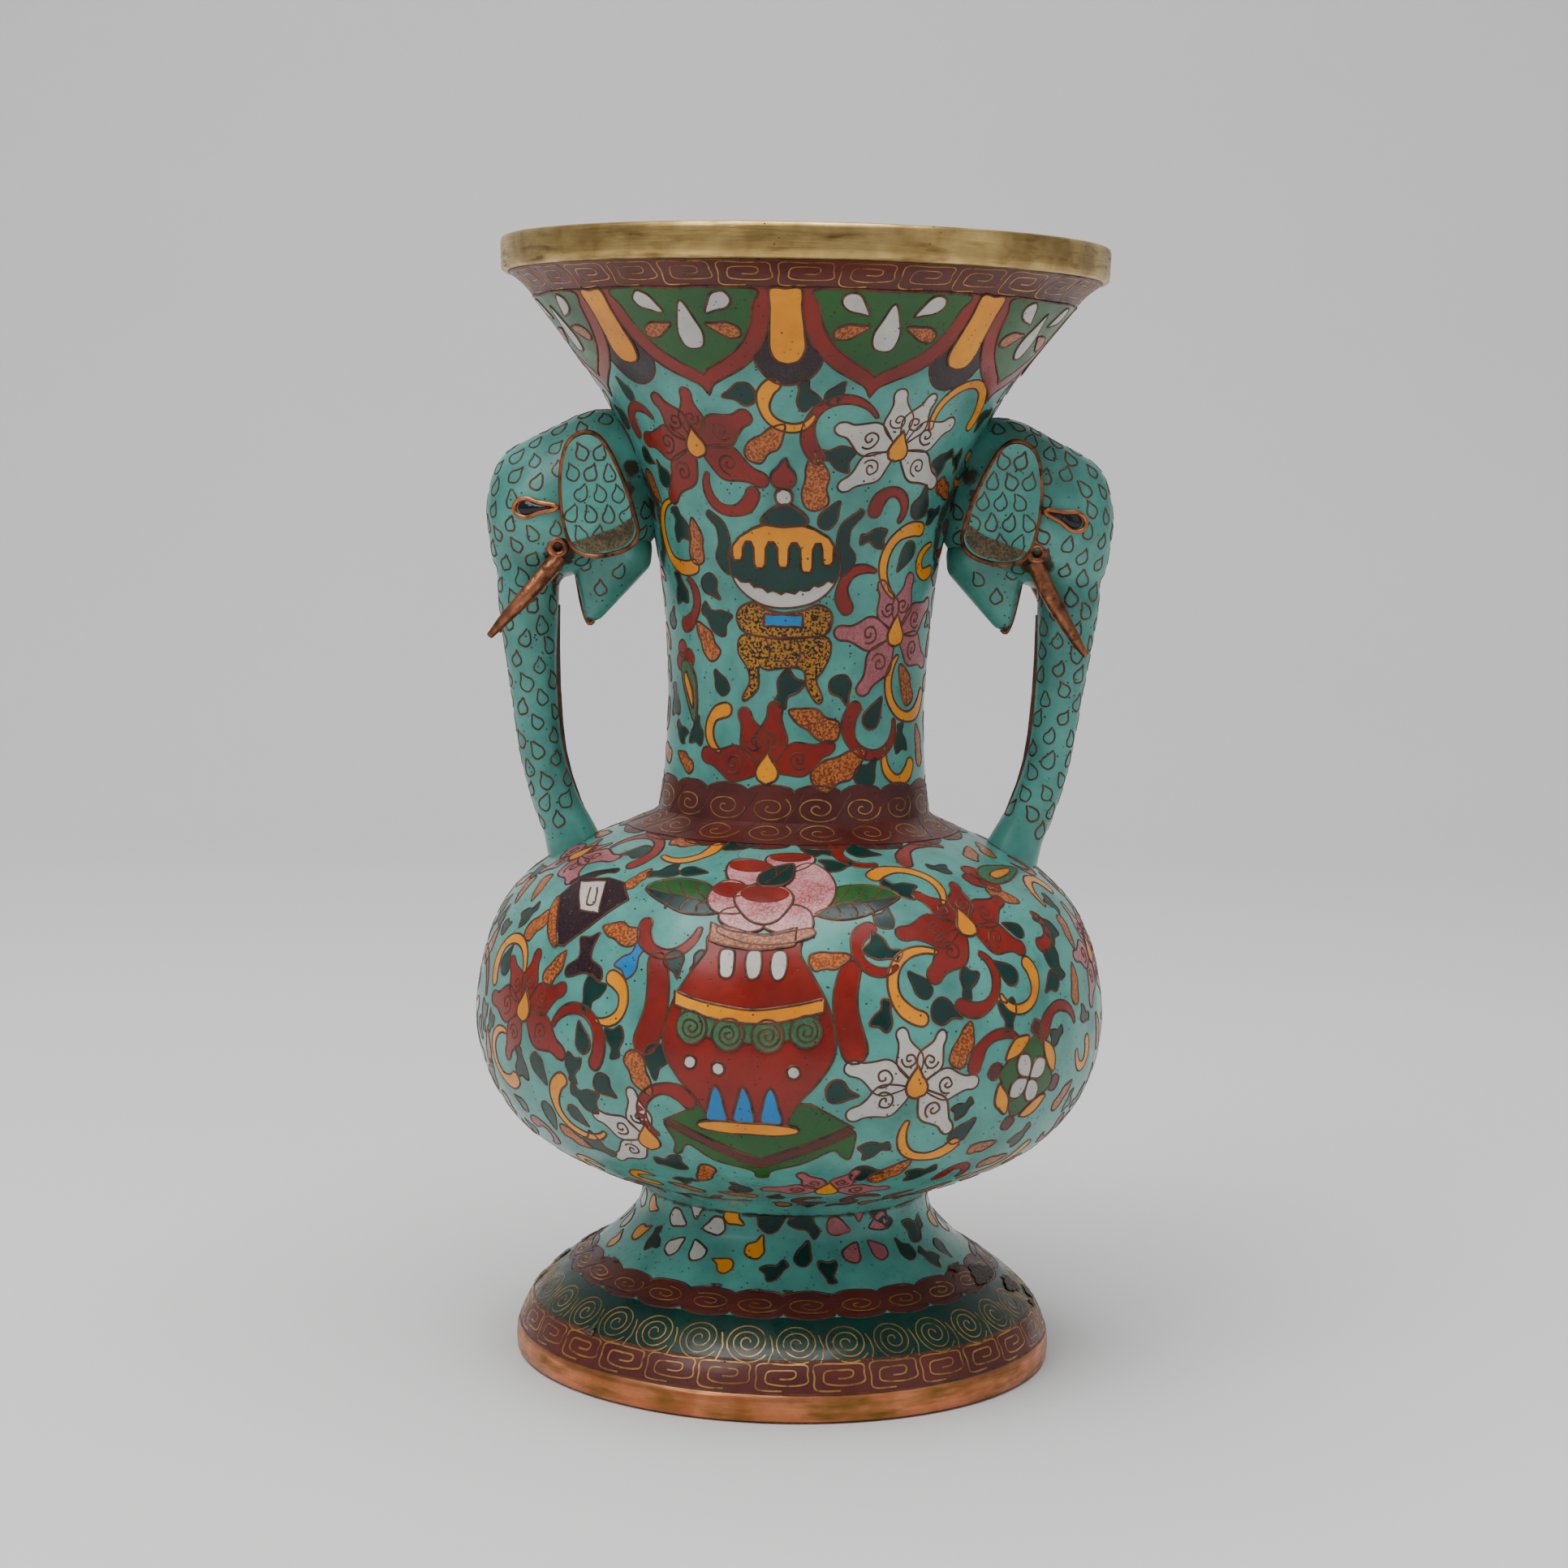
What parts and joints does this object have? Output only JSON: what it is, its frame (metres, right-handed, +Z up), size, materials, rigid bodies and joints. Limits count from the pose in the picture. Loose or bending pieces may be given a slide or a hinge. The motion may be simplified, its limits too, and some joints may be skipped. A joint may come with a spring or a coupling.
{
  "type": "cloisonne vase",
  "caption": "Enamelled copper vase with a flared mouth, a round belly, a spreading foot and elephant-head handles whose trunks come down to the shoulder.",
  "frame": {"origin": "centre of the foot ring's resting face", "axes": "+Z up along the vase's axis, handles along +X and -X, front of the decoration towards -Y"},
  "size_m": [0.142, 0.142, 0.25],
  "materials": {
    "brass_ring": "brushed, pitted",
    "copper": "worn copper",
    "copper_ring": "bright copper with brown tarnish",
    "tusk_copper": "rough dark copper",
    "wire": "ground flush",
    "enamel": "satin gloss, pitted",
    "counter_enamel": "rough gloss",
    "eye_bead": "gloss"
  },
  "bodies": {
    "root": {"mouth_ring": "brass_ring", "neck_core": "copper", "neck_enamel": "enamel", "neck_lining": "counter_enamel", "belly_dome_core": "copper", "belly_bowl_core": "copper", "belly_enamel": "enamel", "belly_dome_lining": "counter_enamel", "belly_bowl_lining": "counter_enamel", "foot_core": "copper", "foot_enamel": "enamel", "foot_lining": "counter_enamel", "foot_ring": "copper_ring", "lip_wire": "wire", "mouth_band_wire": "wire", "neck_band_wire": "wire", "shoulder_band_wire": "wire", "foot_band_wire": "wire", "foot_ring_wire": "wire", "left_head_shell": "copper", "left_head_enamel": "enamel", "left_jaw": "enamel", "left_trunk_seam": "copper", "left_front_ear": "enamel", "left_back_ear": "enamel", "left_front_ear_wire": "copper", "left_back_ear_wire": "copper", "left_front_eye": "eye_bead", "left_back_eye": "eye_bead", "left_front_eye_wire": "copper", "left_back_eye_wire": "copper", "left_front_tusk": "tusk_copper", "left_back_tusk": "tusk_copper", "left_front_tusk_collar": "tusk_copper", "left_back_tusk_collar": "tusk_copper", "right_head_shell": "copper", "right_head_enamel": "enamel", "right_jaw": "enamel", "right_trunk_seam": "copper", "right_front_ear": "enamel", "right_back_ear": "enamel", "right_front_ear_wire": "copper", "right_back_ear_wire": "copper", "right_front_eye": "eye_bead", "right_back_eye": "eye_bead", "right_front_eye_wire": "copper", "right_back_eye_wire": "copper", "right_front_tusk": "tusk_copper", "right_back_tusk": "tusk_copper", "right_front_tusk_collar": "tusk_copper", "right_back_tusk_collar": "tusk_copper"}
  },
  "joints": []
}
